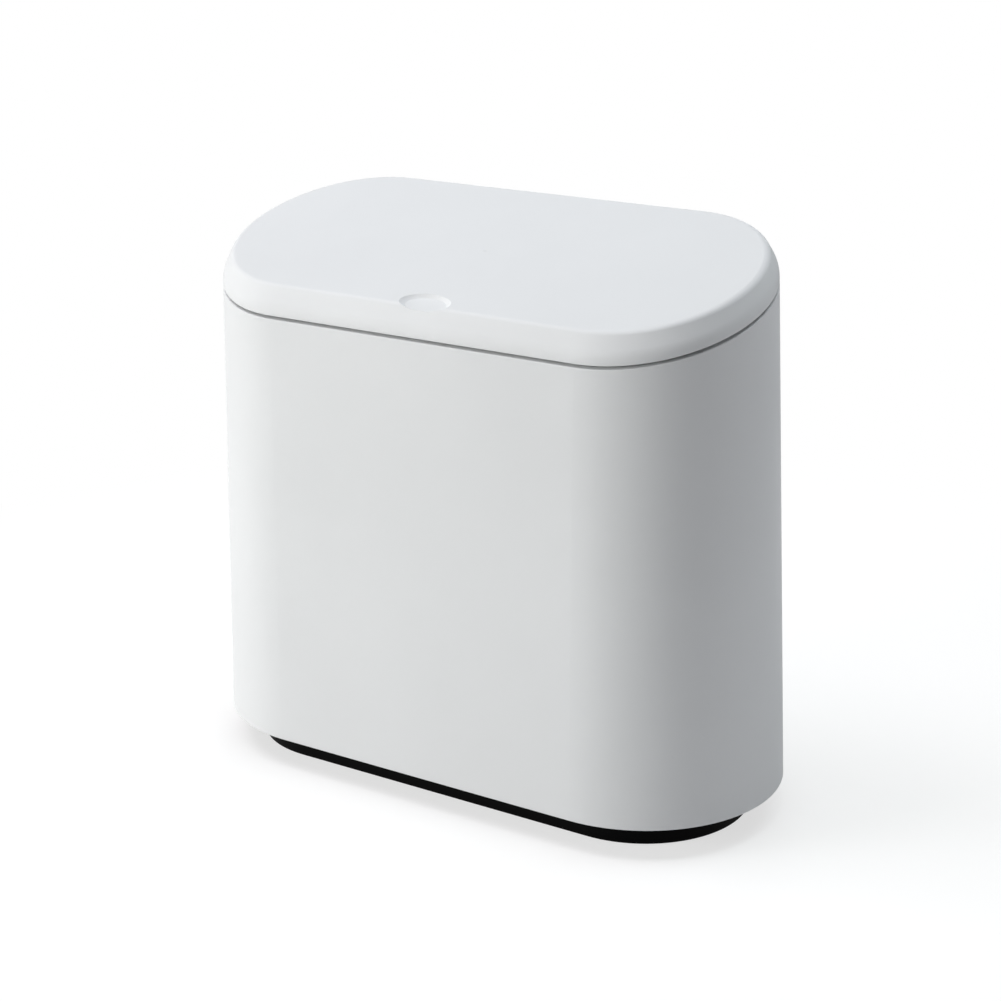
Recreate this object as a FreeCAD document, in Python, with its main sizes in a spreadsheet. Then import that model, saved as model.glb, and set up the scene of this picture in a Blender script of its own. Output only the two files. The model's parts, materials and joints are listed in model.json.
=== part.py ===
import FreeCAD, Part
import math
import os
import re
import Sketcher

# Slim press-open bin: a tapered shell with round ends, a set-in base, a lift-out bucket,
# and a sloping lid that a push latch holds shut and two torsion springs throw open.
# Millimetres, front towards -Y, +Z up, origin on the floor under the middle of the bin.
# The rim plane slopes up to the rear. Places in it are (x, v, n):
# v runs up the slope, n stands square to it.

SIZES = {
    # Shell
    "bottom_width": 262,
    "bottom_depth": 116,
    "base_rise": 12.8,
    "rim_height": 213.5,
    "shell_draft": 1.7,
    "lid_slope": 16.5,
    "shell_wall": 2.2,
    "rim_round": 0.5,
    "foot_round": 0.8,
    "fit_gap": 0.25,
    "overrun": 3,
    # Base
    "plinth_inset": 13.7,
    "plinth_wall": 2.6,
    "floor_gap": 0.4,
    "plate_recess": 1.5,
    "plate_thickness": 2.5,
    "lip_height": 10,
    "lip_wall": 1.8,
    "rib_wall": 1.8,
    "rib_depth": 6,
    "rib_spread_share": 0.7,
    "pad_radius": 8,
    "pad_seat": 1.2,
    "pad_edge": 0.6,
    "pad_boss_wall": 2,
    "pad_end_inset": 29.3,
    "pad_side_inset": 14.3,
    "base_screw_inset": 18,
    "base_boss_radius": 4.4,
    "base_boss_inset": 6.4,
    "base_boss_height": 18,
    # Screws
    "screw_radius": 1.5,
    "screw_gap": 0.05,
    "screw_head_radius": 2.8,
    "screw_head_height": 1.6,
    "base_screw_length": 12,
    "liner_screw_length": 6,
    "striker_screw_length": 5,
    "latch_screw_length": 5,
    # Mouth frame
    "frame_wall": 1.8,
    "frame_depth": 14,
    "frame_recess": 0.8,
    "ledge_low": 6,
    "ledge_high": 3.8,
    "mouth_inset": 13,
    "lug_width": 10,
    "lug_height": 3,
    "lug_reach": 0.8,
    "lug_drop": 10,
    "lug_inset": 11,
    # Bucket
    "bucket_gap": 0.6,
    "bucket_wall": 1.8,
    "bucket_floor": 2,
    "bucket_draft": 1,
    "bucket_base": 20,
    "bucket_rim": 2,
    "bucket_lap": 4,
    "bucket_notch_half": 12,
    "bucket_foot_radius": 6,
    "grip_width": 40,
    "grip_height": 14,
    "grip_drop": 14,
    "grip_corner_share": 0.45,
    # Lid
    "lid_gap": 1.15,
    "lid_height": 10.75,
    "lid_wall": 2.2,
    "bevel_in_share": 0.37,
    "bevel_down_share": 0.7,
    "lid_side_share": 0.9,
    "lid_edge_radius": 3,
    "lid_lip_round": 0.5,
    "dimple_width": 23.6,
    "dimple_length": 12.4,
    "dimple_depth": 1.3,
    "dimple_bowl": 2.6,
    "dimple_lift_share": 0.35,
    "dimple_setback": 7.4,
    "liner_recess": 1.85,
    "liner_thickness": 1.6,
    "liner_gap": 0.9,
    "liner_boss_height": 2.4,
    "lid_boss_radius": 3.4,
    "lid_boss_reach": 5,
    "lid_boss_v": 26,
    "bumper_radius": 3,
    "bumper_height": 3,
    "bumper_tip_share": 0.7,
    "bumper_inset": 13,
    # Hinge
    "hinge_inset": 4.2,
    "hinge_drop": 16,
    "pin_radius": 2,
    "pin_gap": 0.05,
    "pin_head_radius": 3.2,
    "pin_head_height": 1.2,
    "pin_end_gap": 0.3,
    "barrel_radius": 4.2,
    "barrel_gap": 0.6,
    "tongue_half": 40,
    "knuckle_gap": 1,
    "knuckle_width": 8,
    "notch_gap": 3,
    "notch_floor_gap": 1.5,
    "retainer_thickness": 1,
    "retainer_radius": 3.6,
    # Torsion springs
    "coil_radius": 3.4,
    "coil_wire": 0.9,
    "coil_pitch": 1.6,
    "coil_turns": 5,
    "coil_leg": 6,
    "coil_leg_gap": 0.25,
    "coil_window": 12,
    "coil_middle": 20,
    # Push latch
    "latch_setback": 9.2,
    "latch_width": 20,
    "latch_depth": 8.6,
    "latch_height": 23,
    "latch_wall": 1.5,
    "latch_ear": 7,
    "latch_ear_height": 2.4,
    "latch_boss_radius": 3.2,
    "latch_boss_height": 3,
    "latch_window_half": 9,
    "slide_gap": 0.15,
    "cap_height": 1.6,
    "slider_height": 10,
    "slider_rest": 6,
    "slider_floor": 2.5,
    "slider_wall": 1.4,
    "spigot_radius": 1.6,
    "spigot_height": 2,
    "claw_wall": 1.2,
    "claw_rise": 3,
    "claw_fit": 0.1,
    "claw_lip": 1.3,
    "claw_width": 4.8,
    "claw_gap": 0.3,
    "striker_stem": 3,
    "striker_head": 7,
    "striker_head_height": 3,
    "striker_point": 2.4,
    "striker_depth": 3.2,
    "striker_base": 18,
    "striker_base_depth": 8,
    "striker_base_height": 1.6,
    "striker_screw_x": 6,
    "spring_radius": 2.3,
    "spring_wire": 0.6,
    "spring_turns": 5,
    "spring_end_gap": 0.1,
}

# Named relations between the sizes, written as spreadsheet formulas.
RELATIONS = {
    "spine_half": "(bottom_width - bottom_depth) / 2",
    "draft_rate": "tan(shell_draft * 1 deg)",
    "bucket_rate": "tan(bucket_draft * 1 deg)",
    "slope_rate": "tan(lid_slope * 1 deg)",
    "slope_sine": "sin(lid_slope * 1 deg)",
    "slope_cosine": "cos(lid_slope * 1 deg)",
    "ceiling": "rim_height + bottom_depth",
    "slab_span": "bottom_width + bottom_depth",
    "slab_deep": "0 - rim_height - bottom_depth",
    "rim_radius": "bottom_depth / 2 - (rim_height - base_rise) * draft_rate",
    "rear_face": "rim_radius / (1 + slope_rate * draft_rate)",
    "front_face": "rim_radius / (1 - slope_rate * draft_rate)",
    "rear_rim": "rim_height + rear_face * slope_rate",
    "hinge_y": "rear_face - hinge_inset",
    "hinge_z": "rear_rim - hinge_drop",
    "plinth_radius": "bottom_depth / 2 - plinth_inset",
    "plate_low": "base_rise + plate_recess",
    "plate_high": "plate_low + plate_thickness",
    "pad_x": "spine_half + plinth_radius - pad_end_inset",
    "pad_y": "plinth_radius - pad_side_inset",
    "base_screw_x": "spine_half - base_screw_inset",
    "base_screw_y": "bottom_depth / 2 - base_boss_inset",
    "frame_inset": "shell_wall + fit_gap",
    "lug_x": "spine_half - lug_inset",
    "mouth_radius": "rim_radius - mouth_inset",
    "bucket_radius": "mouth_radius - bucket_gap",
    "lid_top": "lid_gap + lid_height",
    "bevel_in": "lid_height * bevel_in_share",
    "bevel_down": "lid_height * bevel_down_share",
    "bevel_wide": "sqrt(bevel_in * bevel_in + bevel_down * bevel_down)",
    "bevel_inner": "1 - lid_wall * (bevel_in + bevel_down - bevel_wide) / (bevel_in * bevel_down)",
    "liner_low": "lid_gap + liner_recess",
    "liner_high": "liner_low + liner_thickness",
    "lid_boss_x": "spine_half + lid_boss_reach",
    "bumper_x": "spine_half - bumper_inset",
    "knuckle_start": "tongue_half + knuckle_gap",
    "knuckle_end": "knuckle_start + knuckle_width",
    "notch_half": "knuckle_end + notch_gap",
    "pin_length": "2 * knuckle_end + pin_head_height + 3 * pin_end_gap + retainer_thickness",
    "latch_y": "latch_setback - front_face",
    "latch_top": "rim_height + latch_y * slope_rate - ledge_low / slope_cosine - latch_boss_height",
    "latch_low": "latch_top - latch_height",
    "latch_screw_x": "(latch_width + latch_ear) / 2",
    "slider_low": "latch_low + cap_height + slider_rest",
    "claw_floor": "slider_low + slider_floor",
    "slider_room": "latch_width / 2 - latch_wall - slide_gap - slider_wall",
    "claw_top": "slider_low + slider_height + claw_rise",
    "head_top": "claw_top - claw_lip - claw_gap",
    "striker_v": "(latch_y + liner_low * slope_sine) / slope_cosine",
}

UP = FreeCAD.Vector(0, 0, 1)
ALONG = FreeCAD.Vector(1, 0, 0)
ACROSS = FreeCAD.Vector(0, 1, 0)

doc = FreeCAD.newDocument("press_open_bin")
sheet = doc.addObject("Spreadsheet::Sheet", "sizes")
for row, (alias, value) in enumerate(SIZES.items(), start=1):
    sheet.set(f"A{row}", alias)
    sheet.set(f"B{row}", str(value))
    sheet.setAlias(f"B{row}", alias)
doc.recompute()


# Formulas and placements

def formula(text):
    """Writes named sizes as sheet cells and named relations in full."""

    def spell(match):
        word = match.group(0)
        if word in SIZES:
            return f"sizes.{word}"
        if word in RELATIONS:
            return f"({formula(RELATIONS[word])})"
        return word

    return re.sub(r"[A-Za-z_]\w*", spell, text)


def number(text):
    """The present value of a formula."""
    result = sheet.evalExpression(formula(text))
    return float(getattr(result, "Value", result))


def bind(item, **texts):
    """Binds properties of an object to formulas."""
    for name, text in texts.items():
        item.setExpression(name, formula(text))
    return item


def place(item, x, y, z):
    """Puts an object at a place in the bin's own frame."""
    for axis, text in zip("xyz", (x, y, z)):
        item.setExpression(f"Placement.Base.{axis}", formula(text))
    return item


def tilt(item, x, v, n):
    """Puts an object at a place in the rim plane's frame, turned with the slope."""
    item.Placement = FreeCAD.Placement(FreeCAD.Vector(), FreeCAD.Rotation(ALONG, number("lid_slope")))
    item.setExpression("Placement.Rotation.Angle", formula("lid_slope * 1 deg"))
    y = f"({v}) * slope_cosine - ({n}) * slope_sine"
    z = f"rim_height + ({v}) * slope_sine + ({n}) * slope_cosine"
    return place(item, x, y, z)


def lay(item, x, y, z):
    """Puts an object at a place with its own upright axis laid along the bin's width."""
    item.Placement = FreeCAD.Placement(FreeCAD.Vector(), FreeCAD.Rotation(ACROSS, 90))
    return place(item, x, y, z)


# Forms

def box(name, length, width, height):
    return bind(doc.addObject("Part::Box", name), Length=length, Width=width, Height=height)


def rod(name, radius, height):
    return bind(doc.addObject("Part::Cylinder", name), Radius=radius, Height=height)


def fuse(name, *items):
    joined = doc.addObject("Part::MultiFuse", name)
    joined.Shapes = list(items)
    return joined


def cut(name, base, *tools):
    """Takes each tool away in turn; the last cut carries the name."""
    for count, tool in enumerate(tools, start=1):
        result = doc.addObject("Part::Cut", name if count == len(tools) else f"{name}_step")
        result.Base = base
        result.Tool = tool
        base = result
    return base


def common(name, base, tool):
    shared = doc.addObject("Part::Common", name)
    shared.Base = base
    shared.Tool = tool
    return shared


def group(name, items):
    """Several separate solids under one name."""
    bundle = doc.addObject("Part::Compound", name)
    bundle.Links = items
    return bundle


def stadium(name, radius, height):
    """An outline of two straight sides and two round ends about the bin's middle line."""
    sketch = doc.addObject("Sketcher::SketchObject", name)
    half = number("spine_half")
    size = number(radius)
    right = Part.Circle(FreeCAD.Vector(half, 0, 0), UP, size)
    left = Part.Circle(FreeCAD.Vector(-half, 0, 0), UP, size)
    sketch.addGeometry(Part.ArcOfCircle(right, -math.pi / 2, math.pi / 2))
    sketch.addGeometry(Part.LineSegment(FreeCAD.Vector(half, size, 0), FreeCAD.Vector(-half, size, 0)))
    sketch.addGeometry(Part.ArcOfCircle(left, math.pi / 2, 3 * math.pi / 2))
    sketch.addGeometry(Part.LineSegment(FreeCAD.Vector(-half, -size, 0), FreeCAD.Vector(half, -size, 0)))
    for side in range(4):
        sketch.addConstraint(Sketcher.Constraint("Tangent", side, 2, (side + 1) % 4, 1))
    for arc, sign in ((0, ""), (2, "0 - ")):
        sketch.addConstraint(Sketcher.Constraint("PointOnObject", arc, 3, -1))
        across = half if arc == 0 else -half
        end = sketch.addConstraint(Sketcher.Constraint("DistanceX", -1, 1, arc, 3, across))
        sketch.setExpression(f"Constraints[{end}]", formula(f"{sign}spine_half"))
    bend = sketch.addConstraint(Sketcher.Constraint("Radius", 0, size))
    sketch.setExpression(f"Constraints[{bend}]", formula(radius))
    sketch.addConstraint(Sketcher.Constraint("Equal", 0, 2))
    return place(sketch, "0", "0", height)


def tapered(name, low, high):
    """A solid between two stadium outlines, each a radius and a height."""
    loft = doc.addObject("Part::Loft", name)
    loft.Sections = [stadium(f"{name}_low", *low), stadium(f"{name}_high", *high)]
    loft.Solid = True
    loft.Ruled = True
    return loft


def outer(height, inset):
    """Radius of the shell's outer face at a height, less an inset."""
    return f"bottom_depth / 2 - ({height} - base_rise) * draft_rate - ({inset})"


def bin_form(name, inset):
    """The bin's tall tapered form, from the shell's foot to above the lid, set in by an inset."""
    return tapered(name, (outer("base_rise", inset), "base_rise"), (outer("ceiling", inset), "ceiling"))


def slab(name, low, high):
    """A wide slab between two distances from the rim plane."""
    sheet_of = box(name, "slab_span", "slab_span", f"({high}) - ({low})")
    return tilt(sheet_of, "0 - slab_span / 2", "0 - slab_span / 2", low)


def rounded(name, base, *rules):
    """Rounds edges of a solid; each rule is a test that picks edges and the radius they get."""
    doc.recompute()
    edges = []
    for chosen, radius in rules:
        size = number(radius)
        picked = [index for index, edge in enumerate(base.Shape.Edges, start=1) if chosen(edge)]
        edges += [(index, size, size) for index in picked]
    result = doc.addObject("Part::Fillet", name)
    result.Base = base
    result.Edges = edges
    return result


def bevelled(name, base, level, inward, down):
    """Bevels the outline of a flat top, so far in along the top and so far down the sides."""
    doc.recompute()
    on_top = lies_at(level)
    edges = []
    for index, edge in enumerate(base.Shape.Edges, start=1):
        if on_top(edge):
            first = base.Shape.ancestorsOfType(edge, Part.Face)[0]
            flat = all(on_top(side) for side in first.Edges)
            spans = (inward, down) if flat else (down, inward)
            edges.append((index, *[number(span) for span in spans]))
    result = doc.addObject("Part::Chamfer", name)
    result.Base = base
    result.Edges = edges
    return result


def rim_distances(edge):
    """Distances of an edge's ends from the rim plane."""
    slope = math.radians(number("lid_slope"))
    ends = [edge.valueAt(edge.FirstParameter), edge.valueAt(edge.LastParameter)]
    return [(end.z - number("rim_height")) * math.cos(slope) - end.y * math.sin(slope) for end in ends]


def lies_at(level):
    """A test for edges that lie in the plane at a distance from the rim plane."""

    def test(edge):
        return all(math.isclose(height, number(level), abs_tol=1e-4) for height in rim_distances(edge))

    return test


def lies_between(low, high):
    """A test for edges that end between two distances from the rim plane."""

    def test(edge):
        slack = number("fit_gap")
        return all(number(low) + slack < height < number(high) - slack for height in rim_distances(edge))

    return test


def at_height(level):
    """A test for edges that lie level at a height."""

    def test(edge):
        return all(math.isclose(vertex.Z, number(level), abs_tol=1e-4) for vertex in edge.Vertexes)

    return test


def runs_along(edge):
    """Whether an edge starts along the bin's width."""
    return abs(edge.tangentAt(edge.FirstParameter).dot(ALONG)) > math.cos(math.pi / 4)


def origin_plane(body, role):
    return next(item for item in body.Origin.OriginFeatures if item.Role == role)


def outline(body, name, role, points):
    """A sketch of straight lines through points given as formulas."""
    sketch = body.newObject("Sketcher::SketchObject", name)
    sketch.AttachmentSupport = [(origin_plane(body, role), "")]
    sketch.MapMode = "FlatFace"
    places = [FreeCAD.Vector(number(across), number(up), 0) for across, up in points]
    for start, end in zip(places, places[1:] + places[:1]):
        sketch.addGeometry(Part.LineSegment(start, end))
    for line in range(len(places)):
        sketch.addConstraint(Sketcher.Constraint("Coincident", line, 2, (line + 1) % len(places), 1))
    for line, (point, texts) in enumerate(zip(places, points)):
        for kind, value, text in zip(("DistanceX", "DistanceY"), point, texts):
            held = sketch.addConstraint(Sketcher.Constraint(kind, -1, 1, line, 1, value))
            sketch.setExpression(f"Constraints[{held}]", formula(text))
    return sketch


def profile(name, role, points, thickness):
    """A body padded evenly to both sides of an origin plane from an outline."""
    body = doc.addObject("PartDesign::Body", name)
    pad = body.newObject("PartDesign::Pad", f"{name}_pad")
    pad.Profile = outline(body, f"{name}_outline", role, points)
    pad.Midplane = True
    bind(pad, Length=thickness)
    return body


def turned(name, points):
    """A body turned about its upright axis from a half outline."""
    body = doc.addObject("PartDesign::Body", name)
    turn = body.newObject("PartDesign::Revolution", f"{name}_turn")
    sketch = outline(body, f"{name}_outline", "XZ_Plane", points)
    turn.Profile = sketch
    turn.ReferenceAxis = (sketch, ["V_Axis"])
    turn.Angle = 360
    return body


def screw(name, length):
    """A pan head screw standing on its head, with its seat at its own zero."""
    head = "0 - screw_head_height"
    points = [("0", head), ("screw_head_radius", head), ("screw_head_radius", "0"), ("screw_radius", "0")]
    return turned(name, points + [("screw_radius", length), ("0", length)])


# Spring wire

def biarc(start, start_way, end, end_way):
    """Two arcs that join two points and follow the direction given at each."""
    chord = end - start
    ways = start_way + end_way
    spread = 2 * (1 - start_way.dot(end_way))
    reach = (math.sqrt(chord.dot(ways) ** 2 + spread * chord.dot(chord)) - chord.dot(ways)) / spread
    first = start + start_way * reach
    second = end - end_way * reach
    meet = (first + second) / 2
    arcs = []
    for near, corner, far in ((start, first, meet), (meet, second, end)):
        weight = math.sin((near - corner).getAngle(far - corner) / 2)
        middle = (near + far + corner * (2 * weight)) / (2 + 2 * weight)
        arcs.append(Part.Arc(near, middle, far).toShape())
    return arcs


def coil(radius, pitch, begin, end):
    """Edges and end points of a helix along X from one turn angle to another."""

    rise = pitch / (2 * math.pi)

    def point(angle):
        return FreeCAD.Vector(rise * angle, radius * math.cos(angle), radius * math.sin(angle))

    def way(angle):
        return FreeCAD.Vector(rise, -radius * math.sin(angle), radius * math.cos(angle)).normalize()

    spans = math.ceil((end - begin) / (math.pi / 2))
    angles = [begin + (end - begin) * step / spans for step in range(spans + 1)]
    edges = []
    for low, high in zip(angles, angles[1:]):
        edges += biarc(point(low), way(low), point(high), way(high))
    return edges, (point(begin), way(begin)), (point(end), way(end))


def wire_solid(edges, wire):
    """A round wire along edges that run on smoothly."""
    path = Part.Wire(edges)
    section = Part.Wire(Part.makeCircle(wire / 2, path.Edges[0].valueAt(path.Edges[0].FirstParameter),
                                        path.Edges[0].tangentAt(path.Edges[0].FirstParameter)))
    shell = Part.BRepOffsetAPI.MakePipeShell(path)
    shell.add(section)
    shell.build()
    shell.makeSolid()
    return shell.shape()


def self_gap(edges, wire):
    """Least space between neighbouring turns, measured on points along the wire."""
    points = []
    for edge in edges:
        points += edge.discretize(Number=6)[:-1]
    far = math.pi * wire
    least = math.inf
    for index, point in enumerate(points):
        walked = 0
        for before, after in zip(points[index:], points[index + 1:]):
            walked += before.distanceToPoint(after)
            if walked > far:
                least = min(least, point.distanceToPoint(after))
    return least - wire


# Shared forms

BIN_OUTSIDE = bin_form("bin_outside", "0")
LID_INSIDE = bin_form("lid_inside", "lid_wall")
CORNERS = [(side, end) for side in ("", "0 - ") for end in ("", "0 - ")]


def upright(name, radius, x, y, low, high):
    """An upright rod between two heights."""
    return place(rod(name, radius, f"({high}) - ({low})"), x, y, low)


def leaning(name, radius, x, v, low, high):
    """A rod square to the rim plane between two distances from it."""
    return tilt(rod(name, radius, f"({high}) - ({low})"), x, v, low)


def axle(name, radius, start, end):
    """A rod along the hinge axis between two places across the width."""
    return lay(rod(name, radius, f"({end}) - ({start})"), start, "hinge_y", "hinge_z")


def lugs(name, slack):
    """Four snap lugs between frame and shell, or their pockets with some slack."""
    made = []
    for sign, rear in CORNERS:
        level = "rim_height - front_face * slope_rate - lug_drop" if rear else "rear_rim - lug_drop"
        face = outer(level, "shell_wall")
        depth = f"fit_gap + frame_wall / 2 + lug_reach + {slack}"
        start = f"0 - ({face}) - lug_reach - {slack}" if rear else f"({face}) - fit_gap - frame_wall / 2"
        lug = box(name, f"lug_width + 2 * {slack}", depth, f"lug_height + 2 * {slack}")
        made.append(place(lug, f"{sign}lug_x - lug_width / 2 - {slack}", start, f"{level} - {slack}"))
    return made


# Shell and base

def outer_shell():
    form = rounded("shell_form", common("shell_block", BIN_OUTSIDE, slab("under_rim", "slab_deep", "0")),
                   (lies_at("0"), "rim_round"), (at_height("base_rise"), "foot_round"))
    notch = box("hinge_notch", "2 * notch_half", "bottom_depth", "bottom_depth")
    place(notch, "0 - notch_half", "0", "hinge_z - barrel_radius - notch_floor_gap")
    pockets = lugs("lug_pocket", "fit_gap")
    walls = cut("shell_walls", form, bin_form("shell_hollow", "shell_wall"), notch, *pockets)
    bosses = []
    pilots = []
    for sign, rear in CORNERS:
        spot = (f"{sign}base_screw_x", f"{rear}base_screw_y")
        top = "plate_high + base_boss_height"
        bosses.append(upright("shell_boss", "base_boss_radius", *spot, "plate_high", top))
        pilots.append(upright("shell_pilot", "screw_radius + screw_gap", *spot, "plate_high - overrun",
                              f"{top} + overrun"))
    return cut("outer_shell", fuse("shell_with_bosses", walls, *bosses), *pilots)


def base_plinth():
    inside = "plinth_radius - plinth_wall"
    ring = cut("plinth_ring",
               tapered("plinth_form", ("plinth_radius", "floor_gap"), ("plinth_radius", "plate_high")),
               tapered("plinth_hollow", (inside, "floor_gap"), (inside, "plate_low")))
    lip_top = "plate_high + lip_height"
    tray = cut("base_tray",
               tapered("lip_form", (outer("plate_low", "frame_inset"), "plate_low"),
                       (outer(lip_top, "frame_inset"), lip_top)),
               tapered("lip_hollow", (outer("plate_high", "frame_inset + lip_wall"), "plate_high"),
                       (outer(lip_top, "frame_inset + lip_wall"), lip_top)))
    reach = "plinth_radius - plinth_wall / 2"
    rib_low = "plate_low - rib_depth"
    ribs = [place(box("long_rib", f"2 * (spine_half + {reach})", "rib_wall", "rib_depth"),
                  f"0 - spine_half - ({reach})", "0 - rib_wall / 2", rib_low)]
    for share in ("0 - rib_spread_share", "0", "rib_spread_share"):
        rib = box("cross_rib", "rib_wall", f"2 * ({reach})", "rib_depth")
        ribs.append(place(rib, f"({share}) * spine_half - rib_wall / 2", f"0 - ({reach})", rib_low))
    bosses = []
    cuts = []
    for sign, rear in CORNERS:
        pad = (f"{sign}pad_x", f"{rear}pad_y")
        spot = (f"{sign}base_screw_x", f"{rear}base_screw_y")
        bosses.append(upright("pad_boss", "pad_radius + pad_boss_wall", *pad, "floor_gap", "plate_high"))
        cuts.append(upright("pad_seat_cut", "pad_radius + fit_gap", *pad, "0", "floor_gap + pad_seat"))
        cuts.append(upright("screw_hole", "screw_radius + screw_gap", *spot, "0", "plate_high"))
        cuts.append(upright("boss_room", "base_boss_radius + fit_gap", *spot, "plate_high", lip_top))
    return cut("base_plinth", fuse("plinth_body", ring, tray, *ribs, *bosses), *cuts)


def foot_pads():
    top = "floor_gap + pad_seat"
    points = [("0", "0"), ("pad_radius - pad_edge", "0"), ("pad_radius", "pad_edge"),
              ("pad_radius", top), ("0", top)]
    pads = {}
    for count, (sign, rear) in enumerate(CORNERS, start=1):
        name = f"foot_pad_{count}"
        pads[name] = place(turned(name, points), f"{sign}pad_x", f"{rear}pad_y", "0")
    return pads


def base_screws():
    screws = []
    for sign, rear in CORNERS:
        made = screw("base_screw", "base_screw_length")
        screws.append(place(made, f"{sign}base_screw_x", f"{rear}base_screw_y", "plate_low"))
    return group("base_screws", screws)


# Mouth frame and bucket

def mouth_frame():
    tube = cut("frame_tube", bin_form("frame_outside", "frame_inset"),
               bin_form("frame_inside", "frame_inset + frame_wall"))
    ring = common("frame_ring", tube, slab("frame_band", "0 - frame_depth", "0 - frame_recess"))
    room = box("hinge_room", "2 * notch_half", "bottom_depth", "frame_depth + overrun - ledge_low")
    skirt = cut("frame_skirt", ring, tilt(room, "0 - notch_half", "0", "0 - frame_depth - overrun"))
    band = slab("ledge_band", "0 - ledge_low", "0 - ledge_high")
    plate = common("ledge_plate", bin_form("ledge_outside", "frame_inset + frame_wall / 2"), band)
    ledge = cut("ledge", plate, tapered("mouth", ("mouth_radius", "0"), ("mouth_radius", "ceiling")))
    half_ledge = "(ledge_low - ledge_high) / 2 / slope_cosine"
    added = lugs("frame_lug", "0")
    cuts = [axle("knuckle_bore", "pin_radius + pin_gap", "0 - notch_half", "notch_half")]
    web_top = f"rim_height + hinge_y * slope_rate - ledge_low / slope_cosine + {half_ledge}"
    for start in ("knuckle_start", "0 - knuckle_end"):
        added.append(axle("knuckle", "barrel_radius", start, f"{start} + knuckle_width"))
        web = box("knuckle_web", "knuckle_width", "2 * frame_wall", f"{web_top} - hinge_z")
        added.append(place(web, start, "hinge_y - frame_wall", "hinge_z"))
    for sign in ("", "0 - "):
        spot = (f"{sign}latch_screw_x", "latch_y")
        added.append(upright("latch_boss", "latch_boss_radius", *spot, "latch_top",
                             f"latch_top + latch_boss_height + {half_ledge}"))
        cuts.append(upright("latch_pilot", "screw_radius + screw_gap", *spot, "latch_top - overrun",
                            "latch_top + latch_screw_length - latch_ear_height + screw_gap"))
    window = box("latch_window", "2 * latch_window_half", "bottom_depth", "bottom_depth")
    cuts.append(place(window, "0 - latch_window_half",
                      "latch_y + latch_depth / 2 - latch_wall - bottom_depth", "latch_top"))
    return cut("mouth_frame", fuse("frame_body", skirt, ledge, *added), *cuts)


def bucket_form(name, inset, base):
    """The bucket's form, narrower towards its floor."""
    radius = f"bucket_radius - (rim_height - ({{}})) * bucket_rate - ({inset})"
    return tapered(name, (radius.format(base), base), (radius.format("ceiling"), "ceiling"))


def inner_bucket():
    body = common("bucket_body", bucket_form("bucket_outside", "0", "bucket_base"),
                  slab("under_bucket_rim", "slab_deep", "bucket_rim - ledge_high"))
    body = rounded("bucket_rounded", body, (at_height("bucket_base"), "bucket_foot_radius"))
    floor = "bucket_base + bucket_floor"
    hollow = rounded("bucket_hollow", bucket_form("bucket_room", "bucket_wall", floor),
                     (at_height(floor), "bucket_foot_radius - bucket_wall"))
    lap = "mouth_radius + bucket_lap"
    rim = common("bucket_rim_plate", tapered("bucket_lap_form", (lap, "0"), (lap, "ceiling")),
                 slab("bucket_rim_band", "0 - ledge_high", "bucket_rim - ledge_high"))
    notch = box("bucket_notch", "2 * bucket_notch_half", "bottom_depth", "bottom_depth")
    place(notch, "0 - bucket_notch_half", "latch_y + latch_depth / 2 - bottom_depth", "latch_top")
    grip = place(box("grip_block", "bottom_width", "grip_width", "grip_height"),
                 "0 - bottom_width / 2", "0 - grip_width / 2", "rim_height - grip_drop - grip_height")
    grip = rounded("grip", grip, (runs_along, "grip_height * grip_corner_share"))
    return cut("inner_bucket", fuse("bucket_with_rim", body, rim), hollow, notch, grip)


# Lid

def dimple(name, extra):
    """The finger dimple's oval bowl with its flat floor, grown by some extra."""
    lift = "dimple_bowl * dimple_lift_share / (1 - dimple_lift_share)"
    spread = "sqrt(1 - dimple_lift_share * dimple_lift_share)"
    bowl = bind(doc.addObject("Part::Ellipsoid", f"{name}_bowl"),
                Radius1=f"dimple_bowl + {lift} + {extra}",
                Radius2=f"dimple_width / 2 / {spread} + {extra}",
                Radius3=f"dimple_length / 2 / {spread} + {extra}")
    middle = "(dimple_setback - front_face + lid_top * slope_sine) / slope_cosine"
    tilt(bowl, "0", middle, f"lid_top + {lift}")
    return common(name, bowl, slab(f"{name}_band", f"lid_top - dimple_depth - {extra}", "lid_top + overrun"))


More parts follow.
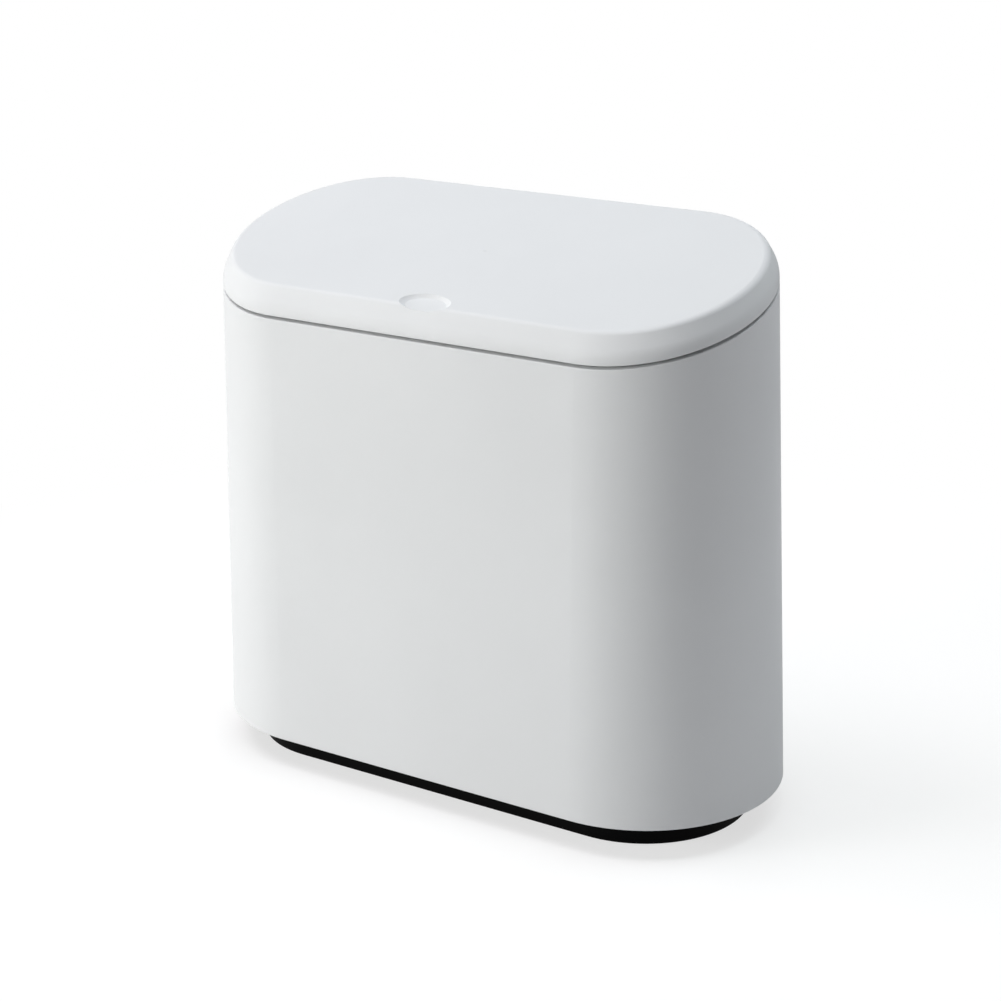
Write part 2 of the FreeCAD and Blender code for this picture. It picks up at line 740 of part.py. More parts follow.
def lid_cover():
    block = common("lid_block", BIN_OUTSIDE, slab("lid_band", "lid_gap", "lid_top"))
    block = bevelled("lid_bevel", block, "lid_top", "bevel_in", "bevel_down")
    crown = rounded("lid_crown", block, (lies_at("lid_top"), "lid_edge_radius"),
                    (lies_between("lid_gap", "lid_top"), "lid_height * lid_side_share"),
                    (lies_at("lid_gap"), "lid_lip_round"))
    ceiling = "lid_top - lid_wall"
    room = common("lid_room", LID_INSIDE, slab("lid_room_band", "lid_gap - overrun", ceiling))
    hollow = bevelled("lid_hollow", room, ceiling, "bevel_in * bevel_inner", "bevel_down * bevel_inner")
    space = cut("lid_space", hollow, dimple("dimple_mound", "lid_wall"))
    skin = cut("lid_skin", crown, dimple("dimple", "0"), space)
    strip = common("tongue_strip", cut("lid_tube", BIN_OUTSIDE, LID_INSIDE),
                   place(box("tongue_block", "2 * tongue_half", "bottom_depth", "bottom_depth"),
                         "0 - tongue_half", "0", "hinge_z"))
    tongue = common("tongue", strip, slab("under_lid", "slab_deep", "lid_gap + lid_lip_round"))
    added = [tongue, axle("barrel", "barrel_radius", "0 - tongue_half", "tongue_half")]
    cuts = [axle("barrel_bore", "pin_radius + pin_gap", "0 - notch_half", "notch_half")]
    reach = "barrel_radius + barrel_gap"
    for side in ("coil_middle", "0 - coil_middle"):
        window = box("spring_window", "coil_window", f"2 * ({reach})", f"2 * ({reach})")
        start = f"{side} - coil_window / 2"
        cuts.append(place(window, start, f"hinge_y - ({reach})", f"hinge_z - ({reach})"))
    for sign, rear in CORNERS:
        spot = (f"{sign}lid_boss_x", f"{rear}lid_boss_v")
        added.append(leaning("lid_boss", "lid_boss_radius", *spot, "liner_high", "lid_top - lid_wall / 2"))
        cuts.append(leaning("lid_pilot", "screw_radius + screw_gap", *spot, "liner_high - overrun",
                            "liner_low + liner_screw_length + screw_gap"))
    return cut("lid_cover", fuse("lid_body", skin, *added), *cuts)


def lid_liner():
    plate = common("liner_plate", bin_form("liner_edge", "lid_wall + liner_gap"),
                   slab("liner_band", "liner_low", "liner_high"))
    spots = [(f"{sign}lid_boss_x", f"{rear}lid_boss_v") for sign, rear in CORNERS]
    bosses = []
    for sign in ("", "0 - "):
        spot = (f"{sign}striker_screw_x", "striker_v")
        spots.append(spot)
        bosses.append(leaning("liner_boss", "lid_boss_radius", *spot, "liner_low",
                              "liner_high + liner_boss_height"))
    top = "liner_low - striker_base_height + striker_screw_length + screw_gap"
    holes = [leaning("liner_hole", "screw_radius + screw_gap", *spot, "liner_low - overrun", top)
             for spot in spots]
    return cut("lid_liner", fuse("liner_body", plate, *bosses), *holes)


def liner_screws():
    screws = []
    for sign, rear in CORNERS:
        made = screw("liner_screw", "liner_screw_length")
        screws.append(tilt(made, f"{sign}lid_boss_x", f"{rear}lid_boss_v", "liner_low"))
    return group("liner_screws", screws)


def lid_bumpers():
    narrow = "bumper_radius * bumper_tip_share"
    points = [("0", "0 - bumper_height"), (narrow, "0 - bumper_height"), ("bumper_radius", "0"), ("0", "0")]
    row = "0 - (mouth_radius + bucket_lap / 2) / slope_cosine"
    return group("lid_bumpers", [tilt(turned("lid_bumper", points), f"{sign}bumper_x", row, "liner_low")
                                 for sign in ("", "0 - ")])


# Hinge

def hinge_pin():
    points = [("0", "0"), ("pin_head_radius", "0"), ("pin_head_radius", "pin_head_height"),
              ("pin_radius", "pin_head_height"), ("pin_radius", "pin_length"), ("0", "pin_length")]
    start = "0 - knuckle_end - pin_end_gap - pin_head_height"
    return lay(turned("hinge_pin", points), start, "hinge_y", "hinge_z")


def pin_retainer():
    start = "knuckle_end + pin_end_gap"
    end = f"{start} + retainer_thickness"
    ring = axle("retainer_disc", "retainer_radius", start, end)
    return cut("pin_retainer", ring, axle("retainer_bore", "pin_radius + pin_gap", start, end))


def leg_lean(wall, distance):
    """Turn by which a spring leg leans in to pass a wall's inner face at a distance from the axis."""
    clear = number(f"hinge_inset - ({wall}) - coil_wire / 2 - coil_leg_gap")
    reach = math.hypot(clear, number(distance))
    return math.acos(clear / reach) - math.acos(number("coil_radius") / reach)


def torsion_spring(name, middle):
    """A coil round the hinge pin, one leg up on the lid's tongue and one down on the shell's wall."""
    radius = number("coil_radius")
    wire = number("coil_wire")
    lean_down = leg_lean("shell_wall", "barrel_radius + notch_floor_gap")
    lean_up = leg_lean("lid_wall + (barrel_radius + barrel_gap) * draft_rate", "barrel_radius + barrel_gap")
    turns = 2 * math.pi * number("coil_turns")
    edges, start, end = coil(radius, number("coil_pitch"), -lean_down, turns + lean_up)
    leg = number("coil_leg")
    foot = start[0] - start[1] * leg
    tip = end[0] + end[1] * leg
    edges = [Part.LineSegment(foot, start[0]).toShape(), *edges, Part.LineSegment(end[0], tip).toShape()]
    spring = doc.addObject("Part::Feature", name)
    spring.Shape = wire_solid(edges, wire)
    print(name, "least gap to itself", round(self_gap(edges, wire), 2))
    return place(spring, f"{middle} - coil_turns * coil_pitch / 2", "hinge_y", "hinge_z")


# Push latch

def mirrored(points):
    """A closed outline from its right half, listed from the foot to the top."""
    return points + [(f"0 - ({across})", up) for across, up in reversed(points)]


def latch_striker():
    head_low = "head_top - striker_head_height"
    stem_top = "rim_height + latch_y * slope_rate + (liner_low - striker_base_height / 2) / slope_cosine"
    half = [("striker_stem / 2", f"{head_low} - striker_point"), ("striker_head / 2", head_low),
            ("striker_head / 2", "head_top"), ("striker_stem / 2", "head_top"),
            ("striker_stem / 2", stem_top)]
    hook = place(profile("striker_hook", "XZ_Plane", mirrored(half), "striker_depth"), "0", "latch_y", "0")
    plate = box("striker_plate", "striker_base", "striker_base_depth", "striker_base_height")
    seat = "liner_low - striker_base_height"
    tilt(plate, "0 - striker_base / 2", "striker_v - striker_base_depth / 2", seat)
    holes = [leaning("striker_hole", "screw_radius + screw_gap", f"{sign}striker_screw_x", "striker_v",
                     f"{seat} - overrun", "liner_low + overrun") for sign in ("", "0 - ")]
    return cut("latch_striker", fuse("striker_body", hook, plate), *holes)


def striker_screws():
    seat = "liner_low - striker_base_height"
    screws = []
    for sign in ("", "0 - "):
        made = screw("striker_screw", "striker_screw_length")
        screws.append(tilt(made, f"{sign}striker_screw_x", "striker_v", seat))
    return group("striker_screws", screws)


def latch_room(name, gap, low, high):
    """The latch's inner room between two heights, less a gap all round."""
    room = box(name, f"latch_width - 2 * (latch_wall + {gap})", f"latch_depth - 2 * (latch_wall + {gap})",
               f"({high}) - ({low})")
    return place(room, f"latch_wall + {gap} - latch_width / 2",
                 f"latch_y + latch_wall + {gap} - latch_depth / 2", low)


def latch_housing():
    ear = "latch_top - latch_ear_height"
    half = [("latch_width / 2", "latch_low"), ("latch_width / 2", ear),
            ("latch_width / 2 + latch_ear", ear), ("latch_width / 2 + latch_ear", "latch_top")]
    case = place(profile("latch_case", "XZ_Plane", mirrored(half), "latch_depth"), "0", "latch_y", "0")
    holes = [upright("ear_hole", "screw_radius + screw_gap", f"{sign}latch_screw_x", "latch_y",
                     f"{ear} - overrun", "latch_top + overrun") for sign in ("", "0 - ")]
    slot = box("striker_slot", "striker_head + 2 * claw_gap", "latch_depth / 2",
               "striker_head_height + latch_height")
    place(slot, "0 - striker_head / 2 - claw_gap", "latch_y - latch_depth / 2",
          "head_top - striker_head_height")
    return cut("latch_housing", case, latch_room("latch_bore", "0", "latch_low", "latch_top"), slot, *holes)


def latch_cap():
    return latch_room("latch_cap", "screw_gap", "latch_low", "latch_low + cap_height")


def latch_slider():
    outside = "latch_width / 2 - latch_wall - slide_gap"
    top = "slider_low + slider_height"
    points = [(outside, "slider_low"), (outside, top), ("slider_room", top), ("slider_room", "claw_floor")]
    block = profile("slider_block", "XZ_Plane", mirrored(points),
                    "latch_depth - 2 * (latch_wall + slide_gap)")
    spigot = upright("slider_spigot", "spigot_radius", "0", "latch_y", "slider_low - spigot_height",
                     "claw_floor")
    return fuse("latch_slider", place(block, "0", "latch_y", "0"), spigot)


def latch_claws():
    outside = "slider_room - claw_fit"
    inside = f"{outside} - claw_wall"
    lip = "striker_stem / 2 + claw_gap"
    under = "claw_top - claw_lip"
    points = [(outside, "claw_floor"), (outside, "claw_top"), (f"{lip} + claw_lip", "claw_top"),
              (lip, under), (inside, under), (inside, "claw_floor + claw_wall")]
    return place(profile("latch_claws", "XZ_Plane", mirrored(points), "claw_width"), "0", "latch_y", "0")


def latch_spring():
    wire = number("spring_wire")
    room = number("slider_rest - spring_wire - 2 * spring_end_gap")
    turns = number("spring_turns")
    edges, start, end = coil(number("spring_radius"), room / turns, 0, 2 * math.pi * turns)
    spring = doc.addObject("Part::Feature", "latch_spring")
    spring.Shape = wire_solid(edges, wire)
    spring.Placement = FreeCAD.Placement(FreeCAD.Vector(), FreeCAD.Rotation(ACROSS, -90))
    print("latch_spring least gap to itself", round(self_gap(edges, wire), 2))
    return place(spring, "0", "latch_y", "latch_low + cap_height + spring_wire / 2 + spring_end_gap")


def latch_screws():
    screws = []
    for sign in ("", "0 - "):
        made = screw("latch_screw", "latch_screw_length")
        screws.append(place(made, f"{sign}latch_screw_x", "latch_y", "latch_top - latch_ear_height"))
    return group("latch_screws", screws)


# Build, test and write

PIECES = (outer_shell, base_plinth, base_screws, mouth_frame, inner_bucket, lid_cover, lid_liner,
          liner_screws, lid_bumpers, hinge_pin, pin_retainer, latch_striker, striker_screws,
          latch_housing, latch_cap, latch_slider, latch_claws, latch_spring, latch_screws)
parts = {piece.__name__: piece() for piece in PIECES}
parts.update(foot_pads())
parts["torsion_spring_left"] = torsion_spring("torsion_spring_left", "0 - coil_middle")
parts["torsion_spring_right"] = torsion_spring("torsion_spring_right", "coil_middle")
doc.recompute()
for item in doc.Objects:
    if "Invalid" in item.State or "Error" in item.State:
        raise RuntimeError(f"{item.Name} failed: {item.State}")
for name, item in parts.items():
    item.Label = name
    if item.Shape.isNull() or not item.Shape.isValid():
        raise RuntimeError(f"{name} has no sound shape")
os.makedirs("parts", exist_ok=True)
for name, item in parts.items():
    item.Shape.exportStep(f"parts/{name}.step")
    print(name, len(item.Shape.Solids), round(item.Shape.Volume), item.Shape.BoundBox)
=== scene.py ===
import json
import math

import bpy
from mathutils import Matrix, Vector


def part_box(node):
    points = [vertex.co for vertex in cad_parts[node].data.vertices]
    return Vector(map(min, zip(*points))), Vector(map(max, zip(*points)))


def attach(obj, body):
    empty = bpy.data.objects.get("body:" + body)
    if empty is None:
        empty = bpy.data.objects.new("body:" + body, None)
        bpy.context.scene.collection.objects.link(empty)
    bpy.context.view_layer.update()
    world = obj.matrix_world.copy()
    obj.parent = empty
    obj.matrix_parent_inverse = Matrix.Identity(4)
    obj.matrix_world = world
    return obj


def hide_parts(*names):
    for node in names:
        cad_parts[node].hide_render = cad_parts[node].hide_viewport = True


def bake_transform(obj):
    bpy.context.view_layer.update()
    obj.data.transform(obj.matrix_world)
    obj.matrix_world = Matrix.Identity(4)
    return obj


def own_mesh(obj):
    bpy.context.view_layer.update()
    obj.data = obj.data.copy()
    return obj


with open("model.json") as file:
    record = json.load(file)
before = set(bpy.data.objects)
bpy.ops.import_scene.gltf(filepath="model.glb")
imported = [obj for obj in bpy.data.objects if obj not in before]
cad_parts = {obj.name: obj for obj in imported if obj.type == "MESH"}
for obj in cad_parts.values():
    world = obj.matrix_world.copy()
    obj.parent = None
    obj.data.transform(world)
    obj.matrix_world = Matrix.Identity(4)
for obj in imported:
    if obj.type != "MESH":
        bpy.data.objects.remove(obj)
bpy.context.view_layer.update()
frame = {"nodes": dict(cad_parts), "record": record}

scene = bpy.context.scene
MM = 0.001

# Colours as they are seen on the object, in display values
WHITE = (0.905, 0.908, 0.915)
INNER_WHITE = (0.885, 0.885, 0.88)
BUCKET_GREY = (0.62, 0.635, 0.65)
BASE_BLACK = (0.011, 0.011, 0.012)
LATCH_GREY = (0.16, 0.165, 0.175)
NATURAL = (0.83, 0.815, 0.765)
STEEL = (0.66, 0.66, 0.65)
RUBBER = (0.085, 0.085, 0.09)


def linear(display):
    """A display colour as the linear colour that a shader socket takes."""
    values = [c / 12.92 if c <= 0.04045 else ((c + 0.055) / 1.055) ** 2.4 for c in display]
    return (*values, 1.0)


def deepened(colour, share):
    """A colour with a share of its light taken away."""
    return tuple(c * (1.0 - share) for c in colour)


# Shader nodes, each made and linked in one step
MIX_FIRST_COLOUR = 6
MIX_SECOND_COLOUR = 7
MIX_RESULT_COLOUR = 2


def new_group(name, inputs, outputs):
    """An empty shader group with its sockets, and its two end nodes."""
    group = bpy.data.node_groups.new(name, "ShaderNodeTree")
    for label, kind, value in inputs:
        socket = group.interface.new_socket(label, in_out="INPUT", socket_type=kind)
        socket.default_value = value
    for label, kind in outputs:
        group.interface.new_socket(label, in_out="OUTPUT", socket_type=kind)
    return group, group.nodes.new("NodeGroupInput"), group.nodes.new("NodeGroupOutput")


def feed(tree, socket, value):
    """Gives an input another node's output, or a plain number."""
    if isinstance(value, (int, float)):
        socket.default_value = value
    else:
        tree.links.new(value, socket)


def math_node(tree, operation, first, second):
    """A Math node whose two inputs are sockets or plain numbers."""
    node = tree.nodes.new("ShaderNodeMath")
    node.operation = operation
    feed(tree, node.inputs[0], first)
    feed(tree, node.inputs[1], second)
    return node.outputs[0]


def noise_node(tree, place, scale, detail):
    """A noise texture on a place, whose scale is a socket or a plain number per metre."""
    node = tree.nodes.new("ShaderNodeTexNoise")
    node.inputs["Detail"].default_value = detail
    tree.links.new(place, node.inputs["Vector"])
    feed(tree, node.inputs["Scale"], scale)
    return node.outputs["Fac"]


def remap(tree, value, low, high, to_low, to_high):
    """A value taken from one range to another, held at the ends."""
    node = tree.nodes.new("ShaderNodeMapRange")
    tree.links.new(value, node.inputs["Value"])
    feed(tree, node.inputs["From Min"], low)
    feed(tree, node.inputs["From Max"], high)
    feed(tree, node.inputs["To Min"], to_low)
    feed(tree, node.inputs["To Max"], to_high)
    return node.outputs[0]


def mix_colour(tree, share, first, second):
    """Two colours mixed by a share."""
    node = tree.nodes.new("ShaderNodeMix")
    node.data_type = "RGBA"
    tree.links.new(share, node.inputs["Factor"])
    tree.links.new(first, node.inputs[MIX_FIRST_COLOUR])
    tree.links.new(second, node.inputs[MIX_SECOND_COLOUR])
    return node.outputs[MIX_RESULT_COLOUR]


# Moulded grain: the noise values between which pits, drift and gloss show, and how deep the first two shade
PIT_RANGE = (0.62, 0.85)
PIT_SHADE = 0.35
DRIFT_RANGE = (0.35, 0.7)
DRIFT_SHADE = 0.65
GLOSS_RANGE = (0.35, 0.65)


def make_moulded_grain():
    """Fine spark-eroded grain of a moulding, with slow drifts of tone and gloss over the wall."""
    group, start, end = new_group(
        "moulded_grain",
        [("Colour", "NodeSocketColor", (0.8, 0.8, 0.8, 1)),
         ("Deep Colour", "NodeSocketColor", (0.75, 0.75, 0.75, 1)),
         ("Roughness", "NodeSocketFloat", 0.4),
         ("Rougher", "NodeSocketFloat", 0.5),
         ("Grain Scale", "NodeSocketFloat", 2200.0),
         ("Flow Scale", "NodeSocketFloat", 14.0)],
        [("Colour", "NodeSocketColor"), ("Roughness", "NodeSocketFloat"), ("Height", "NodeSocketFloat")])
    place = group.nodes.new("ShaderNodeTexCoord").outputs["Object"]
    grain = noise_node(group, place, start.outputs["Grain Scale"], detail=2.0)
    flow = noise_node(group, place, start.outputs["Flow Scale"], detail=3.0)
    pits = remap(group, grain, *PIT_RANGE, 0.0, PIT_SHADE)
    drift = remap(group, flow, *DRIFT_RANGE, 0.0, DRIFT_SHADE)
    shade = math_node(group, "ADD", pits, drift)
    colour = mix_colour(group, shade, start.outputs["Colour"], start.outputs["Deep Colour"])
    mean = math_node(group, "MULTIPLY", math_node(group, "ADD", grain, flow), 0.5)
    rough = remap(group, mean, *GLOSS_RANGE, start.outputs["Roughness"], start.outputs["Rougher"])
    group.links.new(colour, end.inputs["Colour"])
    group.links.new(rough, end.inputs["Roughness"])
    group.links.new(grain, end.inputs["Height"])
    return group


# Handling marks: turn and stretch of each set of scratches, and the noise values between which marks show
SCRATCHES = ((0.5, (900.0, 22.0, 60.0)), (-0.9, (30.0, 700.0, 40.0)))
SCRATCH_RANGE = (0.70, 0.80)
PATCH_SCALE = 30.0
PATCH_RANGE = (0.45, 0.65)


def make_handling_marks():
    """Thin wiping scratches in patches, as a mask that is white where the surface is marked."""
    group, start, end = new_group(
        "handling_marks",
        [("Amount", "NodeSocketFloat", 0.5)],
        [("Mask", "NodeSocketFloat")])
    place = group.nodes.new("ShaderNodeTexCoord").outputs["Object"]
    masks = []
    for turn, stretch in SCRATCHES:
        mapping = group.nodes.new("ShaderNodeMapping")
        mapping.inputs["Rotation"].default_value = (0.0, 0.0, turn)
        mapping.inputs["Scale"].default_value = stretch
        group.links.new(place, mapping.inputs["Vector"])
        lines = noise_node(group, mapping.outputs[0], scale=1.0, detail=1.0)
        masks.append(remap(group, lines, *SCRATCH_RANGE, 0.0, 1.0))
    scratched = math_node(group, "MAXIMUM", *masks)
    patches = remap(group, noise_node(group, place, PATCH_SCALE, detail=2.0), *PATCH_RANGE, 0.0, 1.0)
    marked = math_node(group, "MULTIPLY", scratched, patches)
    mask = math_node(group, "MULTIPLY", marked, start.outputs["Amount"])
    group.links.new(mask, end.inputs["Mask"])
    return group


MOULDED_GRAIN = make_moulded_grain()
HANDLING_MARKS = make_handling_marks()

# Finishes: depths in millimetres, strengths and changes of roughness as shares
PLASTIC_IOR = 1.49
PLASTIC_GRAIN_STRENGTH = 0.5
RUBBED_ROUGHNESS = -0.18
STEEL_TARNISH = 0.25
STEEL_GRAIN_DEPTH = 0.02
STEEL_GRAIN_STRENGTH = 0.4


def place_group(tree, group, **values):
    """A shader group placed in a material, with its own values."""
    node = tree.nodes.new("ShaderNodeGroup")
    node.node_tree = group
    for label, value in values.items():
        node.inputs[label.replace("_", " ")].default_value = value
    return node


def new_material(name):
    """A material with only its output and a Principled shader."""
    material = bpy.data.materials.new(name)
    material.use_nodes = True
    tree = material.node_tree
    return material, tree, tree.nodes["Principled BSDF"]


def bump(tree, shader, height, distance, strength):
    """Relief on a surface: its height in metres at full strength."""
    node = tree.nodes.new("ShaderNodeBump")
    node.inputs["Distance"].default_value = distance
    node.inputs["Strength"].default_value = strength
    tree.links.new(height, node.inputs["Height"])
    tree.links.new(node.outputs[0], shader.inputs["Normal"])


def plastic(name, colour, deeper, roughness, grain_scale, grain_depth, marks, shine=0.5):
    """A moulded plastic: grain, slow drift of tone, and a few handling marks that polish it."""
    material, tree, shader = new_material(name)
    grain = place_group(
        tree, MOULDED_GRAIN, Colour=linear(colour), Deep_Colour=linear(deepened(colour, deeper)),
        Roughness=roughness[0], Rougher=roughness[1], Grain_Scale=grain_scale)
    rubbed = place_group(tree, HANDLING_MARKS, Amount=marks)
    polish = math_node(tree, "MULTIPLY", rubbed.outputs["Mask"], RUBBED_ROUGHNESS)
    rough = math_node(tree, "ADD", grain.outputs["Roughness"], polish)
    tree.links.new(grain.outputs["Colour"], shader.inputs["Base Color"])
    tree.links.new(rough, shader.inputs["Roughness"])
    shader.inputs["IOR"].default_value = PLASTIC_IOR
    shader.inputs["Specular IOR Level"].default_value = shine
    bump(tree, shader, grain.outputs["Height"], grain_depth * MM, PLASTIC_GRAIN_STRENGTH)
    return material


def drawn_steel():
    """Bright drawn steel with a fine grain and a little tarnish."""
    material, tree, shader = new_material("drawn_steel")
    grain = place_group(
        tree, MOULDED_GRAIN, Colour=linear(STEEL), Deep_Colour=linear(deepened(STEEL, STEEL_TARNISH)),
        Roughness=0.22, Rougher=0.38, Grain_Scale=5200.0, Flow_Scale=160.0)
    tree.links.new(grain.outputs["Colour"], shader.inputs["Base Color"])
    tree.links.new(grain.outputs["Roughness"], shader.inputs["Roughness"])
    shader.inputs["Metallic"].default_value = 1.0
    bump(tree, shader, grain.outputs["Height"], STEEL_GRAIN_DEPTH * MM, STEEL_GRAIN_STRENGTH)
    return material


MATERIALS = {
    "white_plastic": plastic(
        "white_moulded_plastic", WHITE, deeper=0.02, roughness=(0.5, 0.62),
        grain_scale=2200.0, grain_depth=0.02, marks=0.5, shine=0.25),
    "white_inner_plastic": plastic(
        "white_inner_plastic", INNER_WHITE, deeper=0.03, roughness=(0.34, 0.42),
        grain_scale=1600.0, grain_depth=0.01, marks=0.4),
    "grey_bucket_plastic": plastic(
        "grey_bucket_plastic", BUCKET_GREY, deeper=0.05, roughness=(0.38, 0.5),
        grain_scale=1300.0, grain_depth=0.03, marks=1.0),
    "black_plastic": plastic(
        "black_base_plastic", BASE_BLACK, deeper=0.25, roughness=(0.45, 0.6),
        grain_scale=1500.0, grain_depth=0.05, marks=0.8, shine=0.04),
    "dark_latch_plastic": plastic(
        "dark_latch_plastic", LATCH_GREY, deeper=0.1, roughness=(0.4, 0.5),
        grain_scale=2600.0, grain_depth=0.01, marks=0.4),
    "natural_latch_plastic": plastic(
        "natural_latch_plastic", NATURAL, deeper=0.06, roughness=(0.3, 0.38),
        grain_scale=2600.0, grain_depth=0.005, marks=0.3),
    "steel": drawn_steel(),
    "rubber": plastic(
        "foot_rubber", RUBBER, deeper=0.2, roughness=(0.62, 0.78),
        grain_scale=2000.0, grain_depth=0.06, marks=0.6),
}


def dress_cad_nodes():
    """Gives every carried-over node the finish of its material slot."""
    for piece in frame["record"]["subparts"]:
        mesh = frame["nodes"][piece["node"]].data
        mesh.materials.clear()
        mesh.materials.append(MATERIALS[piece["material_slot"]])


dress_cad_nodes()

# Places on the bin that the new pieces follow, as in the CAD model
RIM_HEIGHT = 213.5 * MM
LID_SLOPE = math.radians(16.5)
LID_TOP = 11.9 * MM
HINGE = Vector(frame["record"]["behaviour"]["joints"][0]["pos_m"])


def in_rim_plane(across, along, above):
    """A place turned with the sloping rim: across the bin, up the slope, and square to it."""
    turn = Matrix.Rotation(LID_SLOPE, 4, "X")
    return Matrix.Translation((0.0, 0.0, RIM_HEIGHT)) @ turn @ Matrix.Translation((across, along, above))


# Modelling steps that several pieces share
MERGE_DISTANCE = 0.002 * MM
SMOOTH_ANGLE = 35.0
FACING = 0.5


def begin(name, add, **sizes):
    """Adds a primitive with all else deselected, and names it."""
    bpy.ops.object.select_all(action="DESELECT")
    add(**sizes)
    piece = bpy.context.object
    piece.name = name
    return piece


def pick_alone(piece):
    """Makes one piece the only one selected, and active."""
    bpy.ops.object.select_all(action="DESELECT")
    piece.select_set(True)
    bpy.context.view_layer.objects.active = piece


def settle(piece, place):
    """Puts a piece at a place and writes the place into its mesh."""
    pick_alone(piece)
    piece.matrix_world = place
    bpy.ops.object.transform_apply(location=True, rotation=True, scale=True)


def edit(piece, kind="VERT"):
    """Opens a piece for editing with nothing selected."""
    pick_alone(piece)
    bpy.ops.object.mode_set(mode="EDIT")
    bpy.ops.mesh.select_mode(type=kind)
    bpy.ops.mesh.select_all(action="DESELECT")


def choose(piece, parts, test):
    """Selects the vertices or faces of an open piece that a test picks."""
    bpy.ops.object.mode_set(mode="OBJECT")
    for part in getattr(piece.data, parts):
        part.select = test(part)
    bpy.ops.object.mode_set(mode="EDIT")


def push(way):
    """Extrudes what is selected along a way."""
    bpy.ops.mesh.extrude_region_move(TRANSFORM_OT_translate={"value": way})


def close(piece, angle=SMOOTH_ANGLE):
    """Doubles merged, faces turned outwards, editing ended, and smooth shading up to an angle."""
    bpy.ops.mesh.select_all(action="SELECT")
    bpy.ops.mesh.remove_doubles(threshold=MERGE_DISTANCE)
    bpy.ops.mesh.normals_make_consistent(inside=False)
    bpy.ops.object.mode_set(mode="OBJECT")
    bpy.ops.object.shade_smooth_by_angle(angle=math.radians(angle))
    return piece


def finish_piece(piece, slot):
    """Gives a new piece the finish of a material slot."""
    piece.data.materials.clear()
    piece.data.materials.append(MATERIALS[slot])


# Springs, with shares of the wire's thickness at its cut ends
COIL_SIDES = 14
COIL_STEPS = 28
END_REACH_SHARE = 0.7
CUT_EDGE_SHARE = 0.12
CUT_RISE_SHARE = 0.1
CUT_ANGLE = 50.0


def wound(name, wire, radius, pitch, first, last):
    """A wire wound about the X axis between two turn angles in degrees, open at both ends."""
    piece = begin(name, bpy.ops.mesh.primitive_circle_add, vertices=COIL_SIDES, radius=wire / 2,
                  location=(0.0, radius, 0.0))
    bpy.ops.object.transform_apply(location=True)
    settle(piece, Matrix.Translation((pitch * first / 360.0, 0.0, 0.0))
           @ Matrix.Rotation(math.radians(first), 4, "X"))
    winding = piece.modifiers.new("winding", "SCREW")
    winding.axis = "X"
    winding.angle = math.radians(last - first)
    winding.screw_offset = pitch * (last - first) / 360.0
    winding.steps = round(COIL_STEPS * (last - first) / 360.0)
    winding.render_steps = winding.steps
    bpy.ops.object.modifier_apply(modifier="winding")
    return piece


def coil_way(radius, pitch, angle):
    """Direction in which a wire runs on at a turn angle in degrees."""
    a = math.radians(angle)
    return Vector((pitch / math.tau, -radius * math.sin(a), radius * math.cos(a))).normalized()


def coil_point(radius, pitch, angle):
    """Middle of the wire at a turn angle in degrees."""
    a = math.radians(angle)
    return Vector((pitch * angle / 360.0, radius * math.cos(a), radius * math.sin(a)))


def end_wire(piece, wire, point, way):
    """Draws the wire's open end straight on along a way, and closes it with a cut edge."""
    edit(piece)
    choose(piece, "vertices", lambda vertex: (vertex.co - point).length < END_REACH_SHARE * wire)
    push(way)
    bpy.ops.mesh.edge_face_add()
    bpy.ops.mesh.select_mode(type="FACE")
    bpy.ops.mesh.inset(thickness=CUT_EDGE_SHARE * wire)
    bpy.ops.transform.translate(value=way.normalized() * CUT_RISE_SHARE * wire)
    close(piece, CUT_ANGLE)


def spring(name, winding, leg):
    """A wound wire whose two ends run straight on for a leg's length."""
    piece = wound(name, **winding)
    form = (winding["radius"], winding["pitch"])
    for angle, sign in ((winding["first"], -1.0), (winding["last"], 1.0)):
        end_wire(piece, winding["wire"], coil_point(*form, angle), coil_way(*form, angle) * sign * leg)
    return piece


LID_SPRING = {"wire": 0.9 * MM, "radius": 3.4 * MM, "pitch": 1.6 * MM, "first": -22.7, "last": 1829.9}
LID_SPRING_LEG = 6.0 * MM
LID_SPRING_HALF = 4.0 * MM
LID_SPRING_MIDDLE = 20.0 * MM


def lid_spring(name, middle, node):
    """A torsion spring round the hinge pin, one leg down on the shell and one up on the lid's tongue."""
    piece = spring(name, LID_SPRING, LID_SPRING_LEG)
    settle(piece, Matrix.Translation(HINGE + Vector((middle - LID_SPRING_HALF, 0.0, 0.0))))
    finish_piece(piece, "steel")
    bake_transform(piece)
    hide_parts(node)


PUSH_SPRING = {"wire": 0.6 * MM, "radius": 2.3 * MM, "pitch": 1.04 * MM, "first": 0.0, "last": 1800.0}
PUSH_SPRING_STUB = 0.06 * MM


def push_spring():
    """The latch's compression spring, standing on the cap under the slider."""
    piece = spring("latch_push_spring", PUSH_SPRING, PUSH_SPRING_STUB)
    low, high = (Vector(corner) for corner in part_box("latch_spring"))
    middle = (low + high) / 2
    foot = Vector((middle.x, middle.y, low.z + PUSH_SPRING["wire"] / 2))
    settle(piece, Matrix.Translation(foot) @ Matrix.Rotation(math.radians(-90.0), 4, "Y"))
    finish_piece(piece, "steel")
    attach(piece, "bin")
    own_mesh(piece)
    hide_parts("latch_spring")


lid_spring("lid_spring_left", -LID_SPRING_MIDDLE, "torsion_spring_left")
lid_spring("lid_spring_right", LID_SPRING_MIDDLE, "torsion_spring_right")
push_spring()

